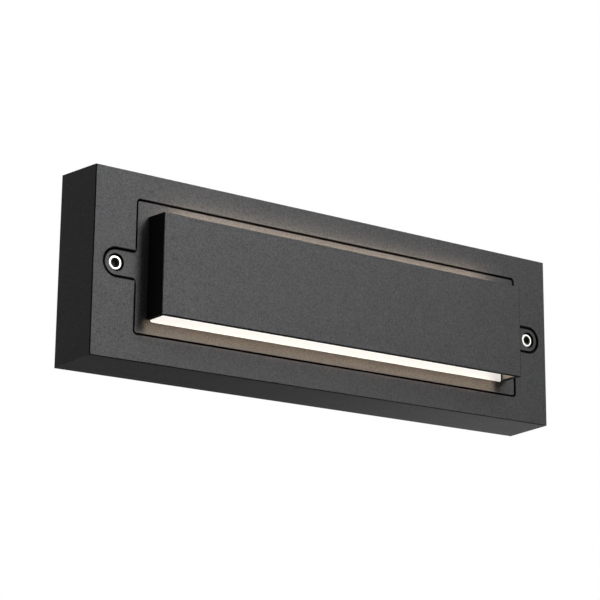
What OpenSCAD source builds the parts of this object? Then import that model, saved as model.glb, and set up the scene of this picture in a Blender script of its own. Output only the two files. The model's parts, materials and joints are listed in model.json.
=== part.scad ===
// Outdoor wall light with an up-and-down light hood, in millimetres.
// Everything is drawn lying on its back, x along the light, y up the wall and z out of the wall.
// The module hang() then stands it up, so that the wall plane is y = 0 and the front faces -Y.
// The origin is the centre of the housing's back face.

/* [Housing] */
// Width of the housing's front face
body_w = 280; // [240:1:330]
// Height of the housing's front face
body_h = 90; // [78:1:120]
// Depth of the housing from the wall to its front face
body_d = 30; // [27:0.5:36]
// How much wider the back is than the front, at each end
back_grow_w = 1.3; // [0.4:0.1:2.5]
// How much taller the back is than the front, at each long side
back_grow_h = 1.5; // [0.4:0.1:2.5]
// Radius of the edges around the front face
edge_r = 0.6; // [0.3:0.1:1.5]
// Thickness of the outer walls
skin_t = 2.5; // [2:0.1:3.5]
// Thickness of the front face around the cover
front_t = 2.8; // [2:0.1:4]
// Thickness of the inner pocket's walls
pocket_t = 2.2; // [1.8:0.1:3]
// Thickness of the pocket's floor, which lies on the wall
floor_t = 3; // [2.5:0.1:3.5]
// Radius of the pocket's corners
cavity_r = 3; // [1:0.5:5]
// Thickness of the ribs behind the front face
rib_t = 2; // [1.5:0.1:3]
// Ribs along each long side
rib_count = 4; // [2:1:8]
// How far ribs and screw columns stop short of the wall
rib_lift = 2; // [1:0.5:4]
// Wall of the column around each cover screw
column_t = 3; // [2:0.1:3.6]

/* [Cover plate] */
// Distance of the plate from the housing's ends
rim_w = 23; // [20:0.5:27]
// Distance of the plate from the housing's long sides
rim_h = 13.5; // [11:0.5:16]
// Thickness of the plate
plate_t = 3; // [2.6:0.1:3.4]
// Gap all round between plate and housing
plate_gap = 0.9; // [0.5:0.1:1.3]
// How far the plate lies below the housing's front face
plate_sink = 0.4; // [0.1:0.1:0.8]
// Radius of the plate's corners
plate_corner_r = 1.2; // [0.5:0.1:4]
// Radius of the round ear at each end
ear_r = 6.15; // [5.4:0.05:7]
// Distance of the ears' centres from the plate's ends
ear_reach = 10.75; // [9:0.05:12]
// Radius of the inside corners where the ears meet the plate
ear_fillet_r = 1.5; // [1.4:0.1:3]
// Clearance between the cover's underside and its seat
seat_gap = 0.3; // [0.2:0.05:0.5]
// Width of the ledge that carries the gasket
ledge_w = 4.6; // [4:0.1:5.4]

/* [Hood] */
// Distance of the hood's front panel from the plate's ends
hood_inset_w = 6.5; // [5:0.1:20]
// Distance of the hood's front panel from the plate's long sides
hood_inset_h = 7.3; // [6:0.1:14]
// How far the hood stands out from the plate
hood_d = 12.9; // [9:0.1:18]
// Thickness of the front panel and the cheeks
hood_t = 2.3; // [1.6:0.1:3.5]
// How much wider the hood's foot is than its front, at each end
hood_grow_w = 0.6; // [0.2:0.1:1]
// How much taller the hood's foot is than its front, above and below
hood_grow_h = 0.3; // [0.1:0.1:1]
// Radius of the hood's front edges
hood_edge_r = 0.5; // [0.2:0.1:0.8]

/* [Diffuser] */
// How far the window reaches past the hood's front panel, above and below
window_over = 1.2; // [0.2:0.1:1.6]
// Radius of the window's corners
window_r = 1; // [0.4:0.1:3]
// Distance of the window's ends from the hood's cheeks
window_end_gap = 0.2; // [0.1:0.05:0.5]
// Clearance between diffuser and window
diffuser_clear = 0.2; // [0.1:0.05:0.4]
// How far the diffuser's face lies below the plate's
diffuser_sink = 0.6; // [0:0.1:1]
// Width of the diffuser's flange behind the plate
flange_w = 1.8; // [1.2:0.1:2.1]
// Thickness of the flange
flange_t = 1; // [0.8:0.1:1.2]
// Thickness of the silicone bead on the flange
bead_t = 0.3; // [0.2:0.05:0.5]

/* [Cover screws] */
// Thread diameter
screw_d = 4; // [3.5:0.1:4.1]
// Length under the head
screw_len = 16; // [14:1:17]
// Diameter of the head
head_d = 7; // [6:0.1:7.4]
// Height of the head
head_h = 4; // [3:0.1:4.4]
// Chamfer around the head
head_chamfer = 0.35; // [0.1:0.05:0.6]
// Width across the flats of the hex socket
hex_af = 3; // [2:0.1:3.4]
// Depth of the hex socket
hex_depth = 2; // [1:0.1:2.6]
// How far the head's top lies below the plate's face
head_sink = 0.85; // [0.3:0.05:1.2]
// Diameter of the counterbore around the head
counterbore_d = 8.5; // [8:0.1:9]
// Diameter of the hole under the head
screw_hole_d = 4.5; // [4.3:0.1:5]
// Metal under the head
ear_floor_t = 1.75; // [1.2:0.05:2]
// Diameter of the keeper washer on the shank
keeper_d = 8; // [7:0.1:9]
// Thickness of the keeper washer
keeper_t = 0.6; // [0.4:0.1:1]
// Room around the keeper washer
keeper_room = 0.6; // [0.4:0.1:1]
// Depth of the hole beyond the screw's tip
tip_room = 1.25; // [0.5:0.05:2]
// Radial clearance of a shank in its hole
shank_clear = 0.05; // [0.02:0.01:0.08]

/* [Gaskets] */
// Width of the cover gasket
gasket_w = 2.2; // [1.6:0.1:2.6]
// Depth of the gasket's groove
groove_d = 1.2; // [0.8:0.1:1.6]
// Clearance around the gaskets in their grooves
groove_clear = 0.1; // [0.05:0.05:0.2]
// Width of the foam ring on the wall side
wall_gasket_w = 4; // [3:0.5:6]
// Depth of the foam ring's groove
wall_gasket_d = 1.2; // [0.8:0.1:1.5]
// Distance of the foam ring from the pocket's walls
wall_gasket_inset = 2.5; // [1.5:0.5:5]

/* [Light engine] */
// Gap between the tray's back and what lies under it
tray_over = 1.5; // [1.3:0.1:3]
// Distance of the tray from the pocket's ends
tray_gap_w = 8.3; // [6.5:0.1:10]
// Distance of the tray from the pocket's long sides
tray_gap_h = 5.8; // [4.5:0.1:7]
// Thickness of the tray's sheet
tray_t = 1.5; // [1.2:0.1:1.8]
// Depth of the tray's folded edges
tray_lip = 1.2; // [0.6:0.1:1.2]
// Distance of the tray screws from the tray's long sides
tray_screw_edge = 8; // [5:0.5:10]
// Distance of the board from the tray's ends
board_gap_w = 10; // [8:0.5:14]
// Distance of the board from the tray's long sides
board_gap_h = 5; // [4:0.5:8]
// Thickness of the board
board_t = 1.6; // [1:0.1:2]
// Clearance around the board in the reflector
board_clear = 0.5; // [0.2:0.1:0.8]
// Packages in each of the two rows
led_count = 19; // [8:1:24]
// Distance of a row's first and last package from the board's ends
row_end_gap = 5; // [3:0.5:10]
// Distance of the rows from the board's long sides
row_edge_gap = 4.5; // [3:0.5:6]
// Length of a package
led_l = 3.5; // [2:0.1:4]
// Width of a package
led_b = 2.8; // [1.5:0.1:3.5]
// Height of a package
led_t = 0.7; // [0.4:0.1:1]
// Distance between the two middle board screws
board_screw_gap = 60; // [50:1:70]
// Thickness of the reflector
reflector_t = 1.2; // [0.8:0.1:1.4]
// Gap between the reflector and the diffuser
reflector_gap = 0.4; // [0.2:0.1:0.8]
// How far the reflector's mouth lies inside the window
mouth_gap = 0.4; // [0.2:0.1:1]
// Length of the board's connector
connector_l = 8; // [6:0.5:10]
// Width of the board's connector
connector_b = 6; // [5:0.5:7]
// Height of the board's connector
connector_t = 3.2; // [2.8:0.1:4]
// Distance of the connector's wire end from the wire hole
connector_gap = 12; // [9:0.5:16]
// Diameter of the hole that the board's leads come through
wire_hole_d = 6; // [5:0.5:7]
// Distance of that hole from the driver
wire_hole_gap = 9; // [7.5:0.5:12]

/* [Driver] */
// Distance of the driver from the terminal block
driver_gap = 17; // [16:0.5:24]
// Distance of the driver from the pocket's end
driver_end = 44.3; // [38:0.1:56]
// Height of the driver's case and of the terminal block
driver_d = 10.5; // [9:0.1:12]
// Height of the case's lower half above its wire holes
driver_split_over = 0.75; // [0.3:0.05:1]
// Wall of the case
driver_wall = 1.5; // [1.2:0.1:1.8]
// Width of the fixing ears
driver_ear_b = 6.4; // [5.8:0.1:7]
// Distance of the fixing ears from the live lead's side
driver_ear_gap = 0.35; // [0.2:0.05:1]
// Thickness of the fixing ears, also of the terminal block's
fixing_ear_t = 2; // [1.6:0.1:2.4]
// Height of the posts under the circuit board
post_h = 0.5; // [0.3:0.1:0.7]
// Thickness of the circuit board
circuit_t = 1.6; // [1:0.1:1.8]
// Clearance around the circuit board
circuit_clear = 0.5; // [0.2:0.1:1]
// Length of the transformer
coil_l = 14; // [10:1:16]
// Width of the transformer
coil_b = 13; // [8:1:14]
// Room over the transformer and the capacitor
coil_over = 0.4; // [0.2:0.1:1]
// Thickness of the transformer's flanges
coil_flange_t = 1; // [0.5:0.1:1.5]
// Length of the capacitor
capacitor_l = 12; // [8:1:14]

/* [Terminal block] */
// Distance of the block's centre from the cable clamp's
block_gap = 19; // [16:0.5:22]
// Length of the block along its wires
block_l = 18; // [16:1:20]
// Distance between poles
pole_pitch = 8; // [7.2:0.1:9]
// Outer diameter of the brass inserts
insert_d = 5; // [4.4:0.1:5.4]
// Bore of the brass inserts
insert_bore_d = 3; // [2.8:0.1:3.4]
// How far the inserts lie inside the block's ends
insert_inset = 1; // [0.5:0.1:2]
// Diameter of the clamp screws
clamp_screw_d = 2.4; // [2:0.1:2.6]
// Diameter of the clamp screws' heads
clamp_head_d = 3.4; // [3:0.1:3.8]
// Height of the clamp screws' heads
clamp_head_h = 1.4; // [1:0.1:1.6]
// Distance between the two clamp screws of a pole
clamp_span = 9; // [8:0.5:10]
// Clearance around the clamp screws and the inserts
block_clear = 0.1; // [0.05:0.05:0.2]

/* [Cable entry] */
// Distance of the cable entry from the left wall-fixing hole
entry_gap = 28; // [23:0.5:32]
// Bore of the grommet
cable_d = 8; // [6:0.5:9]
// Diameter of the grommet's flanges
grommet_d = 20; // [17:0.5:21]
// Diameter of the hole in the floor
entry_hole_d = 16; // [14:0.5:16.5]
// Thickness of the grommet's flanges
grommet_flange_t = 1.2; // [1:0.1:1.5]
// Height of the grommet above the floor
grommet_rise = 6; // [4:0.5:8]
// Distance of the cable clamp from the cable entry
clamp_gap = 18; // [16:0.5:22]
// Width of the clamp's strap
clamp_b = 8; // [6:0.5:8.4]
// Thickness of the clamp over the cable
clamp_t = 1.75; // [1.2:0.05:2.2]
// Distance of the wall-fixing holes from the pocket's ends
fixing_inset = 23.3; // [20:0.1:27]
// Diameter of the wall-fixing holes
fixing_d = 4.8; // [4:0.1:5.5]
// Diameter of the sealing washers there
fixing_seal_d = 12; // [9:0.5:14]
// Thickness of the sealing washers
fixing_seal_t = 1.5; // [1:0.1:2.5]

/* [Leads] */
// Diameter of the mains leads
lead_d = 2.5; // [2:0.1:2.6]
// Diameter of the board's leads
led_lead_d = 1.6; // [1.2:0.1:1.8]
// Distance between the board's two leads
led_lead_span = 2.4; // [2:0.1:2.8]
// Radius of the leads' bends
bend_r = 3; // [2:0.5:3.5]
// Height of the leads above the floor
lead_rise = 5; // [4.9:0.1:5.6]
// How far a lead reaches into the terminal or the driver
lead_in = 3; // [2:0.5:4]
// Distance of the earth screw from the terminal block
earth_gap = 12.5; // [11:0.1:12.8]
// Diameter of the lug's ring
lug_d = 8; // [7:0.5:8.5]
// Thickness of the lug
lug_t = 0.8; // [0.5:0.1:1.2]
// Diameter of the lug's barrel
barrel_d = 3.2; // [3:0.1:3.6]
// Length of the lug's barrel
barrel_l = 4; // [3:0.5:5]

/* [Small screws] */
// Thread diameter
m3_d = 3; // [2.5:0.1:3.2]
// Diameter of the head
m3_head_d = 5.5; // [5:0.1:5.6]
// Height of the head
m3_head_h = 2; // [1.6:0.1:2.2]
// Width of the cross recess
cross_b = 0.8; // [0.5:0.1:1]
// Length of the cross recess
cross_l = 3; // [2:0.1:3.4]
// Depth of the cross recess
cross_d = 1; // [0.6:0.1:1.2]
// Length under the head in the board
m3_short = 3.8; // [3:0.1:4]
// Length under the head in pads and posts
m3_long = 5; // [4:0.1:5.2]
// Room under the tips of the screws in pads and posts
m3_tip_room = 0.2; // [0.1:0.05:0.3]
// Room beside the heads
head_room = 0.25; // [0.1:0.05:0.5]
// Height of the fixing pads on the floor
pad_h = 3.5; // [3.2:0.1:3.8]
// Diameter of pads and posts
pad_d = 6.4; // [6:0.1:7]

/* [Hidden] */
$fn = 48;
// How far cutting shapes run past what they cut
overrun = 0.5;
// The two ends, or the two long sides
sides = [-1, 1];

// Heights above the wall, from the front inwards
plate_z = body_d - plate_sink;
plate_back_z = plate_z - plate_t;
ledge_z = plate_back_z - seat_gap;
groove_z = ledge_z - groove_d;
head_z = plate_z - head_sink;
counterbore_z = head_z - head_h;
ear_back_z = counterbore_z - ear_floor_t;
ear_seat_z = ear_back_z - seat_gap;
tip_z = counterbore_z - screw_len;
hole_end_z = tip_z - tip_room;
// The keeper washer's travel equals the length of thread in the column
thread_z = (tip_z + ear_back_z - keeper_t - 2 * seat_gap) / 2;
keeper_z = thread_z + seat_gap;

// Outlines
plate_w = body_w - 2 * rim_w;
plate_h = body_h - 2 * rim_h;
open_w = plate_w + 2 * plate_gap;
open_h = plate_h + 2 * plate_gap;
cavity_w = open_w - 2 * ledge_w;
cavity_h = open_h - 2 * ledge_w;
screw_x = plate_w / 2 + ear_reach;
hood_w = plate_w - 2 * hood_inset_w;
hood_h = plate_h - 2 * hood_inset_h;
hood_inner_w = hood_w - 2 * hood_t + 2 * hood_grow_w * hood_t / hood_d;
window_w = hood_w - 2 * hood_t + 2 * hood_grow_w - 2 * window_end_gap;
window_h = hood_h + 2 * window_over;
groove_w = gasket_w + 2 * groove_clear;
wall_ring_w = cavity_w - 2 * wall_gasket_inset;
wall_ring_h = cavity_h - 2 * wall_gasket_inset;

// Light engine, from the floor outwards
tray_w = cavity_w - 2 * tray_gap_w;
tray_h = cavity_h - 2 * tray_gap_h;
tray_rise = driver_d + tray_over;
tray_z = floor_t + tray_rise;
board_z = tray_z + tray_t;
led_z = board_z + board_t;
reflector_z = plate_back_z - reflector_gap;
tray_screw_x = tray_w / 2 - reflector_t - head_room - m3_head_d / 2;
tray_screw_y = tray_h / 2 - tray_screw_edge;
board_w = tray_w - 2 * board_gap_w;
board_h = tray_h - 2 * board_gap_h;
row_x = board_w / 2 - row_end_gap;
row_y = board_h / 2 - row_edge_gap;
mouth_w = window_w - 2 * mouth_gap;
mouth_h = window_h - 2 * mouth_gap;
reflector_grow_w = tray_w / 2 - reflector_t - mouth_w / 2;
reflector_grow_h = tray_h / 2 - reflector_t - mouth_h / 2;

// From the left end of the pocket to the right
fixing_x = cavity_w / 2 - fixing_inset;
entry_x = entry_gap - fixing_x;
clamp_x = entry_x + clamp_gap;
block_x = clamp_x + block_gap;
block_right = block_x + block_l / 2;
earth_x = block_right + earth_gap;
driver_left = block_right + driver_gap;
driver_right = cavity_w / 2 - driver_end;
driver_x = (driver_left + driver_right) / 2;
wire_hole_x = driver_right + wire_hole_gap;
connector_x = wire_hole_x - connector_gap;
board_screw_x = wire_hole_x + wire_hole_d / 2 + head_room + m3_head_d / 2;

// Driver and terminal block
driver_w = driver_right - driver_left;
driver_split = lead_rise + lead_d / 2 + driver_split_over;
driver_ear_l = pad_d + head_room;
driver_ear_y = pole_pitch + lead_d / 2 + driver_ear_gap + driver_ear_b / 2;
driver_h = 2 * driver_ear_y + driver_ear_b;
pad_z = floor_t + pad_h;
ear_top_z = pad_z + fixing_ear_t;
circuit_z = floor_t + driver_wall + post_h;
parts_z = circuit_z + circuit_t;
coil_h = driver_d - 2 * driver_wall - post_h - circuit_t - coil_over;
capacitor_d = coil_h;
circuit_w = driver_w - 2 * driver_wall - 2 * circuit_clear;
circuit_h = driver_h - 2 * driver_wall - 2 * circuit_clear;
driver_screw_x = driver_w / 2 + driver_ear_l - pad_d / 2;
block_b = 3 * pole_pitch + 2 * insert_inset;
block_ear_b = m3_head_d + 2 * head_room;
block_screw_y = (block_b + block_ear_b) / 2;
lead_z = floor_t + lead_rise;
lead_r = lead_d / 2;
led_lead_r = led_lead_d / 2;
clamp_screw_len = driver_d + floor_t - clamp_head_h - lead_z - insert_bore_d / 2;
insert_l = block_l - 2 * insert_inset;
poles = [-pole_pitch, 0, pole_pitch];
clamp_screw_y = cable_d / 2 + clamp_t + head_room + m3_head_d / 2;
strap_z = floor_t + cable_d;
connector_lead_z = led_z + connector_t / 2;

// Stands the drawing up against the wall
module hang() {
    rotate([90, 0, 0]) children();
}

// Rectangle with round corners
module rounded(w, h, r) {
    square([w - 2 * r, h], center = true);
    square([w, h - 2 * r], center = true);
    for (sx = sides, sy = sides) {
        translate([sx * (w / 2 - r), sy * (h / 2 - r)]) circle(r);
    }
}

// Flat ring between two rounded rectangles, its inner corners no sharper than the window's
module ring(w, h, r, band) {
    difference() {
        rounded(w, h, r);
        rounded(w - 2 * band, h - 2 * band, max(r - band, window_r));
    }
}

// Section of a drafted block: top wide at height d, wider by grow on each side at height 0
module draft_section(top, grow, d, r, drop) {
    slant = atan2(grow, d);
    reach = r / tan((90 + slant) / 2);
    foot = top / 2 + grow * (d + drop) / d;
    side_x = top / 2 + reach * sin(slant);
    side_y = d - reach * cos(slant);
    flat = top / 2 - reach;
    polygon([[-foot, -drop], [foot, -drop], [side_x, side_y], [flat, d], [-flat, d], [-side_x, side_y]]);
    if (r > 0) {
        for (s = sides) translate([s * flat, d - r]) circle(r);
    }
}

// Block whose four sides lean in towards the front, with round front edges
module drafted_block(w, h, d, grow_w, grow_h, r, drop) {
    intersection() {
        rotate([90, 0, 0]) {
            linear_extrude(h + 2 * abs(grow_h) + 2 * d, center = true) draft_section(w, grow_w, d, r, drop);
        }
        rotate([90, 0, 90]) {
            linear_extrude(w + 2 * abs(grow_w) + 2 * d, center = true) draft_section(h, grow_h, d, r, drop);
        }
    }
}

// Outline of the cover plate with its ears, larger by grow all round
module plate_outline(grow) {
    half_w = plate_w / 2 + grow;
    half_ear = ear_r + grow;
    fillet = ear_fillet_r - grow;
    rounded(2 * half_w, plate_h + 2 * grow, plate_corner_r + grow);
    for (s = sides) {
        translate([s * screw_x, 0]) circle(half_ear);
        translate([s * (half_w + screw_x) / 2, 0]) {
            square([screw_x - half_w + 2 * fillet, 2 * half_ear], center = true);
        }
        for (t = sides) {
            difference() {
                translate([s * (half_w + fillet / 2), t * (half_ear + fillet / 2)]) {
                    square(fillet, center = true);
                }
                translate([s * (half_w + fillet), t * (half_ear + fillet)]) circle(fillet);
            }
        }
    }
}

// Straight rod between two points
module rod(a, b, r) {
    way = b - a;
    translate(a) rotate([0, acos(way.z / norm(way)), atan2(way.y, way.x)]) cylinder(h = norm(way), r = r);
}

function unit(v) = v / norm(v);
// Angle of the bend at point i of a route
function turn(p, i) = acos(unit(p[i] - p[i - 1]) * unit(p[i + 1] - p[i]));
// Length of straight that the bend at point i takes up
function bend_reach(p, i) = i == 0 || i == len(p) - 1 ? 0 : bend_r * tan(turn(p, i) / 2);

// Round bend at point i of a route
module elbow(p, i, r) {
    ahead = unit(p[i] - p[i - 1]);
    after = unit(p[i + 1] - p[i]);
    start = p[i] - bend_reach(p, i) * ahead;
    inward = unit(after - (after * ahead) * ahead);
    centre = start + bend_r * inward;
    axis = cross(-inward, ahead);
    multmatrix([
        [-inward.x, ahead.x, axis.x, centre.x],
        [-inward.y, ahead.y, axis.y, centre.y],
        [-inward.z, ahead.z, axis.z, centre.z]
    ]) rotate_extrude(angle = turn(p, i)) translate([bend_r, 0]) circle(r);
}

// Lead along a route of points, with round bends
module lead(p, r) {
    last = len(p) - 1;
    for (i = [0 : last - 1]) {
        ahead = unit(p[i + 1] - p[i]);
        rod(p[i] + bend_reach(p, i) * ahead, p[i + 1] - bend_reach(p, i + 1) * ahead, r);
    }
    for (i = [1 : 1 : last - 1]) elbow(p, i, r);
}

// Pan-head screw with a cross recess, its seat at height 0 and its shank below
module pan_screw(d, len, top_d, top_h) {
    difference() {
        union() {
            cylinder(h = top_h, d = top_d);
            translate([0, 0, -len]) cylinder(h = len, d = d);
        }
        for (a = [0, 90]) {
            rotate([0, 0, a]) translate([0, 0, top_h - cross_d / 2 + overrun / 2]) {
                cube([cross_l * top_d / m3_head_d, cross_b, cross_d + overrun], center = true);
            }
        }
    }
}

module m3_screw(len) {
    pan_screw(m3_d, len, m3_head_d, m3_head_h);
}

// Places shared by screws and the pads, posts and holes that take them
module at_tray_screws() {
    for (sx = sides, sy = sides) translate([sx * tray_screw_x, sy * tray_screw_y, 0]) children();
}

module at_driver_screws() {
    for (s = sides) translate([driver_x + s * driver_screw_x, s * driver_ear_y, 0]) children();
}

module at_block_screws() {
    for (s = sides) translate([block_x, s * block_screw_y, 0]) children();
}

module at_clamp_screws() {
    for (s = sides) translate([clamp_x, s * clamp_screw_y, 0]) children();
}

module at_fixings() {
    for (s = sides) translate([s * fixing_x, 0, 0]) children();
}

// Housing
module rear_hollow() {
    hollow_d = body_d - front_t;
    top_w = body_w + 2 * back_grow_w * front_t / body_d - 2 * skin_t;
    top_h = body_h + 2 * back_grow_h * front_t / body_d - 2 * skin_t;
    column_d = 2 * (ear_r + plate_gap + column_t);
    difference() {
        drafted_block(
            top_w, top_h, hollow_d,
            back_grow_w * hollow_d / body_d, back_grow_h * hollow_d / body_d, 0, overrun
        );
        translate([0, 0, -2 * overrun]) linear_extrude(body_d) {
            rounded(cavity_w + 2 * pocket_t, cavity_h + 2 * pocket_t, cavity_r + pocket_t);
        }
        translate([0, 0, groove_z - pocket_t]) linear_extrude(body_d) {
            rounded(open_w + 2 * pocket_t, open_h + 2 * pocket_t, cavity_r);
        }
        for (s = sides) {
            translate([s * screw_x, 0, rib_lift]) cylinder(h = body_d, d = column_d);
            translate([s * body_w / 2, 0, rib_lift + body_d / 2]) {
                cube([body_w - cavity_w, rib_t, body_d], center = true);
            }
        }
        for (i = [0 : rib_count - 1]) {
            place = (i + 1) / (rib_count + 1) - 1 / 2;
            translate([place * cavity_w, 0, rib_lift + body_d / 2]) {
                cube([rib_t, body_h, body_d], center = true);
            }
        }
    }
}

module housing_posts() {
    translate([0, 0, floor_t]) {
        at_tray_screws() cylinder(h = tray_rise, d = pad_d);
        at_driver_screws() cylinder(h = pad_h, d = pad_d);
        at_block_screws() cylinder(h = pad_h, d = pad_d);
        at_clamp_screws() cylinder(h = pad_h, d = pad_d);
        translate([earth_x, pole_pitch, 0]) cylinder(h = pad_h, d = lug_d);
    }
}

module housing_holes() {
    bore_d = m3_d + 2 * shank_clear;
    translate([0, 0, board_z + reflector_t - m3_long - m3_tip_room]) {
        at_tray_screws() cylinder(h = body_d, d = bore_d);
    }
    translate([0, 0, ear_top_z - m3_long - m3_tip_room]) {
        at_driver_screws() cylinder(h = body_d, d = bore_d);
        at_block_screws() cylinder(h = body_d, d = bore_d);
        at_clamp_screws() cylinder(h = body_d, d = bore_d);
    }
    translate([earth_x, pole_pitch, pad_z + 2 * lug_t - m3_long - m3_tip_room]) {
        cylinder(h = body_d, d = bore_d);
    }
    translate([0, 0, -overrun]) {
        at_fixings() cylinder(h = floor_t + 2 * overrun, d = fixing_d);
        translate([entry_x, 0, 0]) {
            cylinder(h = floor_t + 2 * overrun, d = entry_hole_d);
            cylinder(h = grommet_flange_t + overrun, d = grommet_d + 2 * groove_clear);
        }
    }
}

module housing() {
    color("#2f2f2f") hang() difference() {
        union() {
            difference() {
                drafted_block(body_w, body_h, body_d, back_grow_w, back_grow_h, edge_r, 0);
                rear_hollow();
                translate([0, 0, floor_t]) linear_extrude(body_d) rounded(cavity_w, cavity_h, cavity_r);
            }
            housing_posts();
        }
        translate([0, 0, ledge_z]) linear_extrude(body_d) plate_outline(plate_gap);
        translate([0, 0, groove_z]) linear_extrude(body_d) {
            ring(
                open_w - ledge_w + groove_w, open_h - ledge_w + groove_w,
                cavity_r + ledge_w / 2 + groove_w / 2, groove_w
            );
        }
        for (s = sides) translate([s * screw_x, 0, 0]) {
            translate([0, 0, ear_seat_z]) cylinder(h = body_d, r = ear_r + plate_gap);
            translate([0, 0, thread_z]) cylinder(h = body_d, d = keeper_d + 2 * keeper_room);
            translate([0, 0, hole_end_z]) cylinder(h = body_d, d = screw_d + 2 * shank_clear);
        }
        translate([0, 0, -overrun]) linear_extrude(wall_gasket_d + overrun) {
            ring(wall_ring_w, wall_ring_h, cavity_r, wall_gasket_w + 2 * groove_clear);
        }
        housing_holes();
    }
}

// Cover with its hood
module hood_shell() {
    root = plate_t / 2;
    passage_d = hood_d - hood_t;
    translate([0, 0, plate_z]) difference() {
        drafted_block(hood_w, hood_h, hood_d, hood_grow_w, hood_grow_h, hood_edge_r, root);
        rotate([90, 0, 0]) linear_extrude(body_h, center = true) {
            draft_section(hood_inner_w, hood_grow_w * passage_d / hood_d, passage_d, 0, root + overrun);
        }
    }
}

module front_cover() {
    color("#333333") hang() difference() {
        union() {
            translate([0, 0, plate_back_z]) linear_extrude(plate_t) plate_outline(0);
            for (s = sides) translate([s * screw_x, 0, ear_back_z]) {
                cylinder(h = plate_back_z - ear_back_z + plate_t / 2, r = ear_r - seat_gap);
            }
            hood_shell();
        }
        translate([0, 0, plate_back_z - overrun]) {
            linear_extrude(plate_t + 2 * overrun) rounded(window_w, window_h, window_r);
            linear_extrude(flange_t + bead_t + overrun) {
                rounded(window_w + 2 * flange_w, window_h + 2 * flange_w, window_r + flange_w);
            }
        }
        for (s = sides) translate([s * screw_x, 0, 0]) {
            translate([0, 0, counterbore_z]) cylinder(h = body_d, d = counterbore_d);
            cylinder(h = body_d, d = screw_hole_d);
        }
    }
}

// Diffuser and its bead
module diffuser() {
    pane_w = window_w - 2 * diffuser_clear;
    pane_h = window_h - 2 * diffuser_clear;
    color("#fff4e6") hang() translate([0, 0, plate_back_z]) {
        linear_extrude(plate_t - diffuser_sink) rounded(pane_w, pane_h, window_r);
        linear_extrude(flange_t) {
            rounded(pane_w + 2 * flange_w, pane_h + 2 * flange_w, window_r + flange_w);
        }
    }
}

module diffuser_seal() {
    color("#b9b9b4") hang() translate([0, 0, plate_back_z + flange_t]) linear_extrude(bead_t) {
        ring(
            window_w - 2 * diffuser_clear + 2 * flange_w, window_h - 2 * diffuser_clear + 2 * flange_w,
            window_r + flange_w, flange_w
        );
    }
}

module cover_gasket() {
    color("#565656") hang() translate([0, 0, groove_z]) {
        linear_extrude(groove_d + seat_gap - groove_clear) {
            ring(
                open_w - ledge_w + gasket_w, open_h - ledge_w + gasket_w,
                cavity_r + ledge_w / 2 + gasket_w / 2, gasket_w
            );
        }
    }
}

// Cover screws and their keeper washers
module cover_screw(s) {
    hex_d = hex_af / cos(30);
    head_r = head_d / 2;
    shank_r = screw_d / 2;
    color("#d9d7d2") hang() translate([s * screw_x, 0, counterbore_z]) difference() {
        rotate_extrude() polygon([
            [0, head_h], [head_r - head_chamfer, head_h], [head_r, head_h - head_chamfer],
            [head_r, 0], [shank_r, 0], [shank_r, head_chamfer - screw_len],
            [shank_r - head_chamfer, -screw_len], [0, -screw_len]
        ]);
        translate([0, 0, head_h - hex_depth]) cylinder(h = hex_depth + overrun, d = hex_d, $fn = 6);
    }
}

module screw_keeper(s) {
    color("#e8e4da") hang() translate([s * screw_x, 0, keeper_z]) difference() {
        cylinder(h = keeper_t, d = keeper_d);
        translate([0, 0, -overrun]) cylinder(h = keeper_t + 2 * overrun, d = screw_d + 2 * shank_clear);
    }
}

module cover_screw_left() {
    cover_screw(-1);
}

module cover_screw_right() {
    cover_screw(1);
}

module screw_keeper_left() {
    screw_keeper(-1);
}

module screw_keeper_right() {
    screw_keeper(1);
}

// Light engine
module at_board_screws() {
    for (s = sides, x = [board_screw_x, board_screw_gap / 2]) translate([s * x, 0, 0]) children();
}

module led_tray() {
    bore_d = m3_d + 2 * shank_clear;
    color("#c9ccce") hang() difference() {
        union() {
            translate([0, 0, tray_z + tray_t / 2]) cube([tray_w, tray_h, tray_t], center = true);
            for (s = sides) {
                translate([0, s * (tray_h - tray_t) / 2, tray_z + (tray_t - tray_lip) / 2]) {
                    cube([tray_w, tray_t, tray_t + tray_lip], center = true);
                }
            }
        }
        translate([0, 0, tray_z - overrun]) {
            at_tray_screws() cylinder(h = tray_t + 2 * overrun, d = bore_d);
            at_board_screws() cylinder(h = tray_t + 2 * overrun, d = bore_d);
            translate([wire_hole_x, 0, 0]) cylinder(h = tray_t + 2 * overrun, d = wire_hole_d);
        }
    }
}

module led_board() {
    color("#f2f2ee") hang() difference() {
        translate([0, 0, board_z + board_t / 2]) cube([board_w, board_h, board_t], center = true);
        translate([0, 0, board_z - overrun]) {
            at_board_screws() cylinder(h = board_t + 2 * overrun, d = m3_d + 2 * shank_clear);
            translate([wire_hole_x, 0, 0]) cylinder(h = board_t + 2 * overrun, d = wire_hole_d);
        }
    }
}

module leds() {
    led_pitch = 2 * row_x / (led_count - 1);
    color("#f4e58c") hang() {
        for (i = [0 : led_count - 1], s = sides) {
            translate([i * led_pitch - row_x, s * row_y, led_z + led_t / 2]) {
                cube([led_l, led_b, led_t], center = true);
            }
        }
    }
}

module board_screws() {
    color("#c4c4c4") hang() translate([0, 0, led_z]) at_board_screws() m3_screw(m3_short);
}

module led_connector() {
    entry_d = led_lead_d + 2 * shank_clear;
    color("#fafafa") hang() difference() {
        translate([connector_x - connector_l / 2, 0, led_z + connector_t / 2]) {
            cube([connector_l, connector_b, connector_t], center = true);
        }
        for (s = sides) {
            translate([connector_x - lead_in, s * led_lead_span / 2, connector_lead_z]) {
                rotate([0, 90, 0]) cylinder(h = connector_l, d = entry_d);
            }
        }
    }
}

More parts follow.
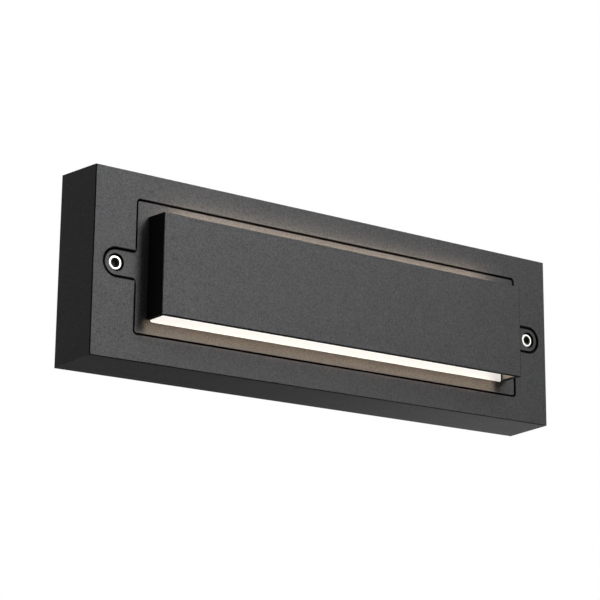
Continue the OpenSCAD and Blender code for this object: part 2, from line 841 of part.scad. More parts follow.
module reflector() {
    height = reflector_z - board_z;
    color("#f7f7f5") hang() translate([0, 0, board_z]) difference() {
        drafted_block(
            mouth_w + 2 * reflector_t, mouth_h + 2 * reflector_t, height,
            reflector_grow_w, reflector_grow_h, 0, 0
        );
        difference() {
            drafted_block(mouth_w, mouth_h, height, reflector_grow_w, reflector_grow_h, 0, overrun);
            translate([0, 0, reflector_t - height]) {
                linear_extrude(height) square([window_w, window_h], center = true);
            }
        }
        translate([0, 0, height]) linear_extrude(overrun) square([mouth_w, mouth_h], center = true);
        translate([0, 0, -overrun]) linear_extrude(reflector_t + 2 * overrun) {
            square([board_w + 2 * board_clear, board_h + 2 * board_clear], center = true);
        }
        at_tray_screws() translate([0, 0, -overrun]) {
            cylinder(h = reflector_t + 2 * overrun, d = m3_d + 2 * shank_clear);
        }
    }
}

module tray_screws() {
    color("#c4c4c4") hang() translate([0, 0, board_z + reflector_t]) at_tray_screws() m3_screw(m3_long);
}

// Driver
module driver_base() {
    lead_bore = lead_d + 2 * shank_clear;
    led_bore = led_lead_d + 2 * shank_clear;
    inner_w = driver_w - 2 * driver_wall;
    inner_h = driver_h - 2 * driver_wall;
    post_x = circuit_w / 2 - driver_wall;
    post_y = circuit_h / 2 - driver_wall;
    color("#f0efec") hang() difference() {
        union() {
            difference() {
                translate([driver_x, 0, floor_t + driver_split / 2]) {
                    cube([driver_w, driver_h, driver_split], center = true);
                }
                translate([driver_x, 0, floor_t + driver_wall + driver_split / 2]) {
                    cube([inner_w, inner_h, driver_split], center = true);
                }
            }
            for (sx = sides, sy = sides) {
                translate([driver_x + sx * post_x, sy * post_y, floor_t + driver_wall / 2]) {
                    cylinder(h = driver_wall / 2 + post_h, r = driver_wall);
                }
            }
            for (s = sides) {
                ear_x = driver_x + s * (driver_w + driver_ear_l) / 2;
                translate([ear_x, s * driver_ear_y, pad_z + fixing_ear_t / 2]) {
                    cube([driver_ear_l, driver_ear_b, fixing_ear_t], center = true);
                }
            }
        }
        translate([0, 0, pad_z - overrun]) {
            at_driver_screws() cylinder(h = fixing_ear_t + 2 * overrun, d = m3_d + 2 * shank_clear);
        }
        for (y = [-pole_pitch, 0]) {
            translate([driver_left - overrun, y, lead_z]) rotate([0, 90, 0]) {
                cylinder(h = driver_wall + 2 * overrun, d = lead_bore);
            }
        }
        for (s = sides) {
            translate([driver_right - driver_wall - overrun, s * led_lead_span / 2, lead_z]) {
                rotate([0, 90, 0]) cylinder(h = driver_wall + 2 * overrun, d = led_bore);
            }
        }
    }
}

module driver_lid() {
    lid_d = driver_d - driver_split;
    color("#f0efec") hang() translate([driver_x, 0, floor_t + driver_split + lid_d / 2]) difference() {
        cube([driver_w, driver_h, lid_d], center = true);
        translate([0, 0, -driver_wall]) {
            cube([driver_w - 2 * driver_wall, driver_h - 2 * driver_wall, lid_d], center = true);
        }
    }
}

module driver_board() {
    color("#3c7a4a") hang() translate([driver_x, 0, circuit_z + circuit_t / 2]) {
        cube([circuit_w, circuit_h, circuit_t], center = true);
    }
}

module driver_transformer() {
    color("#d8c36a") hang() translate([driver_x, (capacitor_d + circuit_clear) / 2, parts_z]) {
        translate([0, 0, coil_h / 2]) {
            cube([coil_l, coil_b - 2 * coil_flange_t, coil_h - 2 * coil_flange_t], center = true);
            for (s = sides) translate([0, 0, s * (coil_h - coil_flange_t) / 2]) {
                cube([coil_l, coil_b, coil_flange_t], center = true);
            }
        }
    }
}

module driver_capacitor() {
    place_y = -(coil_b + circuit_clear) / 2;
    color("#26262a") hang() translate([driver_x, place_y, parts_z + capacitor_d / 2]) {
        rotate([0, 90, 0]) cylinder(h = capacitor_l, d = capacitor_d, center = true);
    }
}

module driver_screws() {
    color("#c4c4c4") hang() translate([0, 0, ear_top_z]) at_driver_screws() m3_screw(m3_long);
}

// Terminal block
module at_clamps() {
    for (y = poles, s = sides) translate([block_x + s * clamp_span / 2, y, 0]) children();
}

module terminal_block() {
    top_z = floor_t + driver_d;
    color("#e9e7df") hang() difference() {
        union() {
            translate([block_x, 0, floor_t + driver_d / 2]) {
                cube([block_l, block_b, driver_d], center = true);
            }
            translate([block_x, 0, pad_z + fixing_ear_t / 2]) {
                cube([pad_d, block_b + 2 * block_ear_b, fixing_ear_t], center = true);
            }
        }
        for (y = poles) {
            translate([block_x, y, lead_z]) rotate([0, 90, 0]) {
                cylinder(h = block_l + 2 * overrun, d = insert_d + 2 * block_clear, center = true);
            }
        }
        translate([0, 0, lead_z]) at_clamps() cylinder(h = top_z, d = clamp_head_d + 2 * block_clear);
        translate([0, 0, pad_z - overrun]) {
            at_block_screws() cylinder(h = fixing_ear_t + 2 * overrun, d = m3_d + 2 * shank_clear);
        }
        at_block_screws() translate([0, 0, floor_t - overrun]) {
            cylinder(h = pad_h + overrun, d = pad_d + 2 * block_clear);
        }
    }
}

module terminal_inserts() {
    color("#c9a85a") hang() difference() {
        for (y = poles) {
            translate([block_x, y, lead_z]) rotate([0, 90, 0]) {
                cylinder(h = insert_l, d = insert_d, center = true);
            }
        }
        for (y = poles) {
            translate([block_x, y, lead_z]) rotate([0, 90, 0]) {
                cylinder(h = block_l + 2 * overrun, d = insert_bore_d, center = true);
            }
        }
        translate([0, 0, lead_z]) at_clamps() cylinder(h = insert_d, d = clamp_screw_d + 2 * shank_clear);
    }
}

module terminal_screws() {
    top_z = floor_t + driver_d;
    color("#c4c4c4") hang() translate([0, 0, top_z - clamp_head_h]) at_clamps() {
        pan_screw(clamp_screw_d, clamp_screw_len, clamp_head_d, clamp_head_h);
    }
}

module terminal_block_screws() {
    color("#c4c4c4") hang() translate([0, 0, ear_top_z]) at_block_screws() m3_screw(m3_long);
}

// Leads
module mains_lead(y) {
    hang() lead([
        [block_right - insert_inset - lead_in, y, lead_z],
        [driver_left + lead_in, y, lead_z]
    ], lead_r);
}

module lead_live() {
    color("#6b3f22") mains_lead(-pole_pitch);
}

module lead_neutral() {
    color("#2d5fa8") mains_lead(0);
}

module lead_earth() {
    color("#5a9c3a") hang() lead([
        [block_right - insert_inset - lead_in, pole_pitch, lead_z],
        [earth_x - lug_d / 2 - barrel_l + lead_in, pole_pitch, lead_z]
    ], lead_r);
}

module led_lead(s) {
    y = s * led_lead_span / 2;
    hang() lead([
        [driver_right - lead_in, y, lead_z],
        [wire_hole_x, y, lead_z],
        [wire_hole_x, y, connector_lead_z],
        [connector_x - lead_in, y, connector_lead_z]
    ], led_lead_r);
}

module lead_led_plus() {
    color("#a33327") led_lead(1);
}

module lead_led_minus() {
    color("#1f1f1f") led_lead(-1);
}

module earth_lug() {
    ring_r = lug_d / 2;
    color("#d0cfc8") hang() translate([earth_x, pole_pitch, 0]) difference() {
        union() {
            translate([0, 0, pad_z]) cylinder(h = lug_t, r = ring_r);
            translate([-ring_r, 0, pad_z + lug_t / 2]) cube([2 * barrel_d, barrel_d, lug_t], center = true);
            translate([-ring_r, 0, lead_z]) rotate([0, -90, 0]) cylinder(h = barrel_l, d = barrel_d);
        }
        translate([0, 0, pad_z - overrun]) cylinder(h = lug_t + 2 * overrun, d = m3_d + 2 * shank_clear);
        translate([overrun - ring_r, 0, lead_z]) rotate([0, -90, 0]) {
            cylinder(h = barrel_l + 2 * overrun, d = lead_d + 2 * shank_clear);
        }
    }
}

module earth_screw() {
    color("#c9a85a") hang() translate([earth_x, pole_pitch, pad_z + lug_t]) m3_screw(m3_long - lug_t);
}

// Cable entry and wall side
module cable_grommet() {
    bore_r = cable_d / 2;
    flange_r = grommet_d / 2;
    neck_r = entry_hole_d / 2 - groove_clear;
    cone_r = (bore_r + flange_r) / 2;
    tip_r = (bore_r + cone_r) / 2;
    color("#1c1c1c") hang() translate([entry_x, 0, 0]) rotate_extrude() polygon([
        [bore_r, 0], [flange_r, 0], [flange_r, grommet_flange_t], [neck_r, grommet_flange_t],
        [neck_r, floor_t], [flange_r, floor_t], [flange_r, floor_t + grommet_flange_t],
        [cone_r, floor_t + grommet_flange_t], [tip_r, floor_t + grommet_rise],
        [bore_r, floor_t + grommet_rise]
    ]);
}

module cable_clamp() {
    foot_l = 2 * clamp_screw_y + pad_d;
    crown_l = cable_d + 2 * clamp_t;
    color("#e9e7df") hang() difference() {
        union() {
            translate([clamp_x, 0, pad_z + fixing_ear_t / 2]) {
                cube([clamp_b, foot_l, fixing_ear_t], center = true);
            }
            translate([clamp_x, 0, (pad_z + strap_z + clamp_t) / 2]) {
                cube([clamp_b, crown_l, strap_z + clamp_t - pad_z], center = true);
            }
        }
        translate([clamp_x, 0, floor_t + cable_d / 2]) rotate([0, 90, 0]) {
            cylinder(h = clamp_b + 2 * overrun, d = cable_d, center = true);
        }
        translate([0, 0, pad_z - overrun]) {
            at_clamp_screws() cylinder(h = fixing_ear_t + 2 * overrun, d = m3_d + 2 * shank_clear);
        }
    }
}

module cable_clamp_screws() {
    color("#c4c4c4") hang() translate([0, 0, ear_top_z]) at_clamp_screws() m3_screw(m3_long);
}

module fixing_seals() {
    color("#1c1c1c") hang() translate([0, 0, floor_t]) at_fixings() difference() {
        cylinder(h = fixing_seal_t, d = fixing_seal_d);
        translate([0, 0, -overrun]) cylinder(h = fixing_seal_t + 2 * overrun, d = fixing_d);
    }
}

module wall_gasket() {
    color("#3a3a3a") hang() linear_extrude(wall_gasket_d) {
        ring(
            wall_ring_w - 2 * groove_clear, wall_ring_h - 2 * groove_clear, cavity_r, wall_gasket_w
        );
    }
}

housing();
front_cover();
diffuser();
diffuser_seal();
cover_gasket();
cover_screw_left();
cover_screw_right();
screw_keeper_left();
screw_keeper_right();
led_board();
leds();
board_screws();
led_connector();
reflector();
led_tray();
tray_screws();
driver_base();
driver_lid();
driver_board();
driver_transformer();
driver_capacitor();
driver_screws();
terminal_block();
terminal_inserts();
terminal_screws();
terminal_block_screws();
lead_live();
lead_neutral();
lead_earth();
lead_led_plus();
lead_led_minus();
earth_lug();
earth_screw();
cable_grommet();
cable_clamp();
cable_clamp_screws();
fixing_seals();
wall_gasket();
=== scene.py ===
import json
import math

import bmesh
import bpy
from mathutils import Matrix, Vector

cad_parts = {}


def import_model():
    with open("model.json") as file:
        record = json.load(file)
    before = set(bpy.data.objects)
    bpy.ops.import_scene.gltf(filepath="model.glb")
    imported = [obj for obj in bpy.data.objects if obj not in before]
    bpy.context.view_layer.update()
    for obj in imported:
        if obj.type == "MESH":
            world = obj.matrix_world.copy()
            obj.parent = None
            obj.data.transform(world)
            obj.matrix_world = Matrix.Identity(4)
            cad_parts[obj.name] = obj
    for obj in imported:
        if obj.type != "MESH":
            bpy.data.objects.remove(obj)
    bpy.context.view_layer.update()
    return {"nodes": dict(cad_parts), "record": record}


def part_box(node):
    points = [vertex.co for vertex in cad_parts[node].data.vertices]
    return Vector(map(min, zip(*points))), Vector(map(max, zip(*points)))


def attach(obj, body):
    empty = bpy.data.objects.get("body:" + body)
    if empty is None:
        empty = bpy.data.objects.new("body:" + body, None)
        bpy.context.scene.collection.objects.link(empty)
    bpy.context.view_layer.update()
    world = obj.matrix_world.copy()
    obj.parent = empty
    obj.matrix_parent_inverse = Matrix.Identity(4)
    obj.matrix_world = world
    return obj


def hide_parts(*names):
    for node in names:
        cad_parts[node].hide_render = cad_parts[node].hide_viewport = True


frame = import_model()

NODES = frame["nodes"]
MM = 0.001

# ---------------------------------------------------------------- places read off the frame
PANE_LOW, PANE_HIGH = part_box("diffuser")
HOOD_T = 2.3 * MM
HOOD_RISE = 12.9 * MM
HOOD_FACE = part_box("front_cover")[0].y
PLATE_FACE = HOOD_FACE + HOOD_RISE
HOOD_BACK = HOOD_FACE + HOOD_T


# ---------------------------------------------------------------- node materials
class Shader:
    """A principled material whose colour, roughness and bump come from procedural nodes."""

    def __init__(self, name, **sockets):
        self.material = bpy.data.materials.new(name)
        self.material.use_nodes = True
        self.tree = self.material.node_tree
        self.bsdf = self.tree.nodes["Principled BSDF"]
        self.place = self.tree.nodes.new("ShaderNodeTexCoord").outputs["Object"]
        for socket, value in sockets.items():
            self.bsdf.inputs[socket.replace("_", " ")].default_value = value

    def node(self, kind, inputs=(), **settings):
        """A node of that kind, whose inputs are linked to sockets or set to values."""
        made = self.tree.nodes.new(kind)
        for key, value in settings.items():
            setattr(made, key, value)
        for socket, value in dict(inputs).items():
            if isinstance(value, bpy.types.NodeSocket):
                self.tree.links.new(value, made.inputs[socket])
            else:
                made.inputs[socket].default_value = value
        return made

    def stretched(self, stretch):
        """Object coordinates, scaled by stretch along each axis."""
        sockets = {0: self.place, 1: stretch}
        return self.node("ShaderNodeVectorMath", sockets, operation="MULTIPLY").outputs[0]

    def noise(self, size, detail=3, rough=0.5, stretch=None):
        """Noise from 0 to 1 whose features measure size, in metres."""
        place = self.place if stretch is None else self.stretched(stretch)
        sockets = {"Vector": place, "Scale": 1 / size, "Detail": detail, "Roughness": rough}
        return self.node("ShaderNodeTexNoise", sockets).outputs["Fac"]

    def cells(self, size, smooth=0.3):
        """Rounded cells that measure size, dark in the middle."""
        sockets = {"Vector": self.place, "Scale": 1 / size, "Smoothness": smooth}
        return self.node("ShaderNodeTexVoronoi", sockets, feature="SMOOTH_F1").outputs["Distance"]

    def span(self, value, low, high, start=0.0, end=1.0):
        """Value between start and end, mapped to the range from low to high."""
        sockets = {"Value": value, "From Min": start, "From Max": end, "To Min": low, "To Max": high}
        return self.node("ShaderNodeMapRange", sockets).outputs["Result"]

    def above(self, value, edge):
        """1 above an edge, which has a place and the width that it fades over, in millimetres."""
        place, fade = edge
        return self.span(value, 0, 1, place * MM, (place + fade) * MM)

    def below(self, value, edge):
        """1 below an edge, which has a place and the width that it fades over, in millimetres."""
        place, fade = edge
        return self.span(value, 1, 0, place * MM, (place + fade) * MM)

    def blend(self, value, dark, light, start=0.3, end=0.7):
        """Colour between dark and light by value, which runs from start to end."""
        ramp = self.node("ShaderNodeValToRGB", {"Fac": value})
        ramp.color_ramp.elements[0].position = start
        ramp.color_ramp.elements[0].color = (*dark, 1)
        ramp.color_ramp.elements[1].position = end
        ramp.color_ramp.elements[1].color = (*light, 1)
        return ramp.outputs["Color"]

    def add(self, a, b, share):
        """a plus share times b."""
        return self.node("ShaderNodeMath", {0: b, 1: share, 2: a}, operation="MULTIPLY_ADD").outputs[0]

    def join(self, a, b, operation="MULTIPLY"):
        """Two values joined by a math operation."""
        return self.node("ShaderNodeMath", {0: a, 1: b}, operation=operation).outputs[0]

    def every(self, *masks):
        """1 where all the masks are 1."""
        result = masks[0]
        for mask in masks[1:]:
            result = self.join(result, mask)
        return result

    def either(self, *masks):
        """1 where any of the masks is 1."""
        result = masks[0]
        for mask in masks[1:]:
            result = self.join(result, mask, "MAXIMUM")
        return result

    def axes(self):
        """Distance from the middle along x, place along y and distance from the middle along z."""
        parts = self.node("ShaderNodeSeparateXYZ", {"Vector": self.place}).outputs
        return self.join(parts["X"], 0.0, "ABSOLUTE"), parts["Y"], self.join(parts["Z"], 0.0, "ABSOLUTE")

    def off_slot(self, half_x, half_z, radius):
        """Distance, in the plane of the front, from the outline of a box grown by the radius."""
        x, _, z = self.axes()
        over = []
        for place, half in ((x, half_x), (z, half_z)):
            past = self.join(self.join(place, half, "SUBTRACT"), 0.0, "MAXIMUM")
            over.append(self.join(past, past))
        away = self.join(self.join(*over, "ADD"), 0.5, "POWER")
        return self.join(self.join(away, radius, "SUBTRACT"), 0.0, "ABSOLUTE")

    def bump(self, height, depth, strength):
        """Bump of depth metres for a height from 0 to 1."""
        made = self.node("ShaderNodeBump", {"Strength": strength, "Distance": depth, "Height": height})
        self.tree.links.new(made.outputs["Normal"], self.bsdf.inputs["Normal"])

    def set(self, socket, value):
        """Links a value to a socket of the shader."""
        self.tree.links.new(value, self.bsdf.inputs[socket])


def shades(color, spread):
    """The colour darkened and lightened by spread."""
    dark = tuple(c * (1 - spread) for c in color)
    light = tuple(min(1.0, c * (1 + spread)) for c in color)
    return dark, light


COAT = (0.072, 0.072, 0.0735)
# painted shade: the near-black colour that the gap and the rims take
PAINTED_SHADE_BLACK = (0.007, 0.007, 0.007)
COAT_SPREAD = 0.44

# middle line of the gap round the plate and its ears
EAR_X = 127.75 * MM
EAR_GAP_R = 6.6 * MM
PLATE_GAP_X = 117.45 * MM
PLATE_GAP_Z = 31.95 * MM
PLATE_GAP_R = 1.65 * MM

# edges of the painted shade that blackens the gap and the rims: place and fade in millimetres, from the
# middle along x and z, and along y
GAP_FIELD_X = (132.3, 0.3)
GAP_FIELD_Z = (34, 0.3)
GAP_FADE = 0.12
LEDGE_Y = (-22.5, 0.5)
BOX_RIM_X = (138.6, 0.4)
BOX_RIM_Z = (43.6, 0.4)
BOX_RIM_FRONT = (-29.97, 0.12)
BOX_RIM_BACK = (-29.35, 0.2)
HOOD_RIM_X = (109.9, 0.3)
HOOD_RIM_Z = (23.9, 0.2)
HOOD_RIM_Y = (-42.45, 0.15)
HOOD_FOOT_Y = (-30.3, 0.2)
EAR_BAND = (0.7, 0.18)
EAR_FROM_X = (118, 0.2)
PLATE_BAND = (0.52, 0.16)
NECK_X = (116, 0.1)
NECK_Z = (8.2, 0.2)
COVER_GAP_START = -29.57
BOX_GAP_START = -29.95


def painted_gap_and_rim_shade(s, gap_start):
    """1 where painted shade blackens the coat: in the gap, beside it, and on the rims of the box and hood.
    """
    x, y, z = s.axes()
    on_ledge = s.below(y, LEDGE_Y)
    in_field = s.every(s.below(x, GAP_FIELD_X), s.below(z, GAP_FIELD_Z))
    gap = s.every(in_field, s.above(y, (gap_start, GAP_FADE)), on_ledge)

    box = s.either(s.above(x, BOX_RIM_X), s.above(z, BOX_RIM_Z))
    box = s.every(box, s.above(y, BOX_RIM_FRONT), s.below(y, BOX_RIM_BACK))

    hood = s.every(s.above(z, HOOD_RIM_Z), s.above(y, HOOD_RIM_Y))
    hood = s.every(s.either(hood, s.above(x, HOOD_RIM_X)), s.below(y, HOOD_FOOT_Y))

    off_ear = s.off_slot(EAR_X, 0, EAR_GAP_R)
    ear = s.every(s.below(off_ear, EAR_BAND), s.above(x, EAR_FROM_X), on_ledge)

    off_plate = s.off_slot(PLATE_GAP_X - PLATE_GAP_R, PLATE_GAP_Z - PLATE_GAP_R, PLATE_GAP_R)
    off_neck = s.either(s.above(z, NECK_Z), s.below(x, NECK_X))
    plate = s.every(s.below(off_plate, PLATE_BAND), off_neck, s.above(y, HOOD_FOOT_Y), on_ledge)
    return s.either(ear, plate, gap, box, hood)


def powder_coat(name, gap_start):
    """Fine-textured dark grey powder coat, with painted shade that makes it black and less glossy on rims
    and in the gap behind gap_start.
    """
    s = Shader(name, Metallic=0.0)
    cloud = s.noise(11 * MM, 3)
    speck = s.noise(0.62 * MM, 2, 0.7)
    grain = s.cells(0.42 * MM)
    tone = s.add(s.span(cloud, 0.05, 0.12), speck, 0.83)
    full = s.blend(tone, *shades(COAT, COAT_SPREAD))
    painted_shade = painted_gap_and_rim_shade(s, gap_start)
    # painted shade: the coat turns near black, and less glossy, in the gap and on the rims
    coat = s.node("ShaderNodeMix", {0: painted_shade, 6: full, 7: (*PAINTED_SHADE_BLACK, 1)}, data_type="RGBA")
    s.set("Base Color", coat.outputs[2])
    s.set("Specular IOR Level", s.span(painted_shade, 0.05, 0.02))
    s.set("Roughness", s.span(speck, 0.66, 0.78))
    s.bump(s.add(s.span(speck, 0, 0.5), grain, 0.5), 0.05 * MM, 0.8)
    return s.material


PANE_WARM_Z = (19, 5.5)
# painted shade on the diffuser's light: where its right end starts to dim and the width it fades over, in
# millimetres, and how bright it ends
PANE_SHADE_X = (97, 7)
PANE_SHADE = 0.8


def opal():
    """Opal diffuser, lit from behind: near white, warmer along its long edges, with painted shade that
    dims its right end.
    """
    s = Shader("opal", Roughness=0.4, Emission_Strength=1.0, Specular_IOR_Level=0.2)
    cloud = s.noise(6 * MM, 3)
    s.set("Base Color", s.blend(cloud, (0.44, 0.43, 0.41), (0.48, 0.47, 0.45)))
    across = s.axes()[2]
    along = s.node("ShaderNodeSeparateXYZ", {"Vector": s.place}).outputs["X"]
    edge = s.add(s.above(across, PANE_WARM_Z), cloud, 0.25)
    warm = s.blend(edge, (0.80, 0.83, 0.835), (0.785, 0.765, 0.735), 0.1, 1.0)
    # painted shade: the light of the right end fades down
    shade_start, shade_fade = PANE_SHADE_X
    end_shade = s.span(along, 1.0, PANE_SHADE, shade_start * MM, (shade_start + shade_fade) * MM)
    lit = s.node("ShaderNodeVectorMath", {0: warm, 1: end_shade}, operation="MULTIPLY")
    s.set("Emission Color", lit.outputs[0])
    s.bump(s.noise(0.3 * MM, 3), 0.01 * MM, 0.5)
    return s.material


def metal(name, color, rough, spread=0.08, size=0.5 * MM, stretch=None):
    """Bare metal with fine marks of its making, whose colour varies by spread."""
    s = Shader(name, Metallic=1.0)
    mark = s.noise(size, 4, 0.6, stretch)
    cloud = s.noise(4 * MM, 2)
    s.set("Base Color", s.blend(s.add(s.span(mark, 0, 0.6), cloud, 0.4), *shades(color, spread)))
    s.set("Roughness", s.span(mark, rough * 0.75, rough * 1.3))
    s.bump(mark, 0.004 * MM, 0.6)
    return s.material


def plastic(name, color, rough, depth=0.008 * MM):
    """Moulded plastic with an eroded mould's grain, depth deep, and faint flow marks."""
    s = Shader(name, Specular_IOR_Level=0.4)
    flow = s.noise(7 * MM, 3, 0.5, (0.4, 1, 1))
    grain = s.noise(0.35 * MM, 3, 0.6)
    s.set("Base Color", s.blend(s.add(s.span(flow, 0, 0.7), grain, 0.3), *shades(color, 0.04)))
    s.set("Roughness", s.span(grain, rough * 0.88, min(1.0, rough * 1.12)))
    s.bump(grain, depth, 0.7)
    return s.material


def rubber(name, color, rough, size, depth):
    """Rubber or foam with pores of that size."""
    s = Shader(name, Specular_IOR_Level=0.25)
    pore = s.cells(size, 0.15)
    dust = s.noise(1.5 * MM, 4, 0.6)
    s.set("Base Color", s.blend(s.add(s.span(dust, 0, 0.5), pore, 0.5), *shades(color, 0.3)))
    s.set("Roughness", s.span(dust, rough * 0.9, min(1.0, rough * 1.1)))
    s.bump(pore, depth, 0.8)
    return s.material


BAND_SHARE = 0.28
BAND_SCALE = 420.0 / 6.28


def stripes(name, color, other):
    """Wire sheath in one colour with slanting bands of another."""
    s = Shader(name, Roughness=0.42, Specular_IOR_Level=0.4)
    sockets = {"Vector": s.stretched((1, 1.6, 1.6)), "Scale": BAND_SCALE, "Distortion": 0.15}
    wave = s.node("ShaderNodeTexWave", sockets, bands_direction="DIAGONAL").outputs["Fac"]
    s.set("Base Color", s.blend(wave, other, color, BAND_SHARE, BAND_SHARE + 0.05))
    s.bump(s.noise(0.3 * MM, 2), 0.005 * MM, 0.5)
    return s.material


def board_face(name, color):
    """Circuit board: solder mask over copper, with finer traces showing through."""
    s = Shader(name, Specular_IOR_Level=0.5)
    sockets = {
        "Vector": s.stretched((1, 1, 0.45)), "Scale": 85.0, "Mortar Size": 0.012, "Mortar Smooth": 0.2,
        "Color1": (0, 0, 0, 1), "Color2": (0.12, 0.12, 0.12, 1), "Mortar": (1, 1, 1, 1),
    }
    brick = s.node("ShaderNodeTexBrick", sockets).outputs["Color"]
    dust = s.noise(2 * MM, 3)
    low, high = shades(color, 0.07)
    s.set("Base Color", s.blend(s.add(s.span(dust, 0, 0.3), brick, 0.6), high, low, 0.1, 0.9))
    s.set("Roughness", s.span(dust, 0.28, 0.42))
    s.bump(brick, 0.03 * MM, 0.4)
    return s.material


def winding():
    """Yellow tape round a transformer, with the wraps' edges across it."""
    s = Shader("winding_tape", Specular_IOR_Level=0.5, Coat_Weight=0.2)
    sockets = {"Vector": s.place, "Scale": 260.0, "Distortion": 0.4, "Detail": 2.0}
    wave = s.node("ShaderNodeTexWave", sockets, bands_direction="Z", wave_profile="SAW").outputs["Fac"]
    s.set("Base Color", s.blend(wave, (0.52, 0.38, 0.07), (0.72, 0.56, 0.15), 0.05, 0.5))
    s.set("Roughness", s.span(wave, 0.25, 0.38))
    s.bump(wave, 0.04 * MM, 0.5)
    return s.material


BRUSHED = (0.08, 1, 1)
SLOTS = {
    "powder_coat": powder_coat("powder_coat", COVER_GAP_START),
    "opal": opal(),
    "stainless": metal("stainless", (0.62, 0.60, 0.57), 0.5, spread=0.3),
    "zinc_steel": metal("zinc_steel", (0.55, 0.55, 0.56), 0.34),
    "keeper_nylon": plastic("keeper_nylon", (0.72, 0.70, 0.65), 0.55),
    "grey_silicone": rubber("grey_silicone", (0.11, 0.11, 0.11), 0.6, 0.8 * MM, 0.01 * MM),
    "clear_silicone": rubber("clear_silicone", (0.45, 0.45, 0.43), 0.45, 0.8 * MM, 0.01 * MM),
    "black_rubber": rubber("black_rubber", (0.018, 0.018, 0.018), 0.62, 0.5 * MM, 0.012 * MM),
    "foam": rubber("foam", (0.045, 0.045, 0.045), 0.95, 0.55 * MM, 0.12 * MM),
    "white_board": board_face("white_board", (0.80, 0.80, 0.78)),
    "phosphor": plastic("phosphor", (0.80, 0.62, 0.13), 0.5),
    "white_nylon": plastic("white_nylon", (0.80, 0.80, 0.78), 0.45),
    "white_reflector": plastic("white_reflector", (0.84, 0.84, 0.83), 0.5),
    "bare_aluminium": metal("bare_aluminium", (0.62, 0.63, 0.64), 0.4, size=0.3 * MM, stretch=BRUSHED),
    "driver_case": plastic("driver_case", (0.74, 0.73, 0.70), 0.6, depth=0.02 * MM),
    "circuit_board": board_face("circuit_board", (0.035, 0.16, 0.06)),
    "winding_tape": winding(),
    "capacitor_can": plastic("capacitor_can", (0.02, 0.022, 0.03), 0.35),
    "terminal_plastic": plastic("terminal_plastic", (0.70, 0.68, 0.62), 0.5),
    "brass": metal("brass", (0.66, 0.47, 0.17), 0.3),
    "tinned_copper": metal("tinned_copper", (0.64, 0.63, 0.59), 0.38),
    "brown_wire": plastic("brown_wire", (0.125, 0.045, 0.016), 0.42),
    "blue_wire": plastic("blue_wire", (0.025, 0.105, 0.36), 0.42),
    "green_wire": stripes("green_wire", (0.07, 0.27, 0.03), (0.72, 0.58, 0.02)),
    "red_wire": plastic("red_wire", (0.36, 0.028, 0.02), 0.42),
    "black_wire": plastic("black_wire", (0.016, 0.016, 0.016), 0.42),
}
for part in frame["record"]["subparts"]:
    NODES[part["node"]].material_slots[0].material = SLOTS[part["material_slot"]]
NODES["housing"].material_slots[0].material = powder_coat("powder_coat_box", BOX_GAP_START)


# ---------------------------------------------------------------- rounded edges
WELD_DISTANCE = 0.02 * MM
FLAT_ANGLE = math.radians(0.4)
EDGE_ANGLE = math.radians(35)

# radius in millimetres and segments
ROUNDING = {
    "housing": (0.35, 3),
    "front_cover": (0.3, 3),
    "diffuser": (0.15, 2),
    "reflector": (0.25, 2),
    "led_board": (0.12, 1),
    "led_tray": (0.15, 2),
    "led_connector": (0.25, 2),
    "driver_base": (0.3, 2),
    "driver_lid": (0.5, 3),
    "driver_screws": (0.3, 3),
    "driver_transformer": (0.35, 2),
    "driver_capacitor": (0.4, 3),
    "terminal_block": (0.3, 2),
    "terminal_screws": (0.15, 2),
    "terminal_block_screws": (0.3, 3),
    "terminal_inserts": (0.12, 1),
    "cable_clamp": (0.5, 3),
    "cable_clamp_screws": (0.3, 3),
    "cable_grommet": (0.3, 3),
    "earth_screw": (0.3, 3),
    "fixing_seals": (0.25, 3),
    "wall_gasket": (0.2, 2),
    "cover_gasket": (0.2, 2),
    "screw_keeper_left": (0.12, 2),
    "screw_keeper_right": (0.12, 2),
}


def soften(node, width, segments):
    """Rounds a CAD node's edges, as casting, moulding and coating leave them."""
    obj = NODES[node]
    weld = obj.modifiers.new("weld", "WELD")
    weld.merge_threshold = WELD_DISTANCE
    flat = obj.modifiers.new("flat", "DECIMATE")
    flat.decimate_type = "DISSOLVE"
    flat.angle_limit = FLAT_ANGLE
    bevel = obj.modifiers.new("bevel", "BEVEL")
    bevel.limit_method = "ANGLE"
    bevel.angle_limit = EDGE_ANGLE
    bevel.width = width
    bevel.segments = segments
    normals = obj.modifiers.new("normals", "WEIGHTED_NORMAL")
    normals.weight = 100


for softened, (width, segments) in ROUNDING.items():
    soften(softened, width * MM, segments)


# ---------------------------------------------------------------- pieces that stand for plain CAD solids
def piece(name, mesh, materials, body, replaced, place=(0, 0, 0)):
    """Makes an object of the mesh, dressed, that rides on a body and stands for a CAD node."""
    data = bpy.data.meshes.new(name)
    mesh.to_mesh(data)
    mesh.free()
    obj = bpy.data.objects.new(name, data)
    bpy.context.scene.collection.objects.link(obj)
    obj.location = place
    for material in materials:
        data.materials.append(material)
    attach(obj, body)
    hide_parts(replaced)
    return obj


def smooth(obj, angle):
    """Smooth shading, except across edges sharper than the angle."""
    obj.data.shade_smooth()
    obj.data.set_sharp_from_angle(angle=math.radians(angle))


def sweep(mesh, rings, closed_start=True, closed_end=True):
    """Joins rings of points, each with the same count, and closes the ends on their middles."""
    rows = [[mesh.verts.new(point) for point in ring] for ring in rings]
    faces = []
    for low, high in zip(rows, rows[1:]):
        for i in range(len(low)):
            j = (i + 1) % len(low)
            faces.append(mesh.faces.new((low[i], low[j], high[j], high[i])))
    for row, closed in ((rows[0], closed_start), (rows[-1], closed_end)):
        if closed:
            middle = mesh.verts.new(sum((v.co for v in row), Vector()) / len(row))
            for i in range(len(row)):
                faces.append(mesh.faces.new((row[i], row[(i + 1) % len(row)], middle)))
    return faces


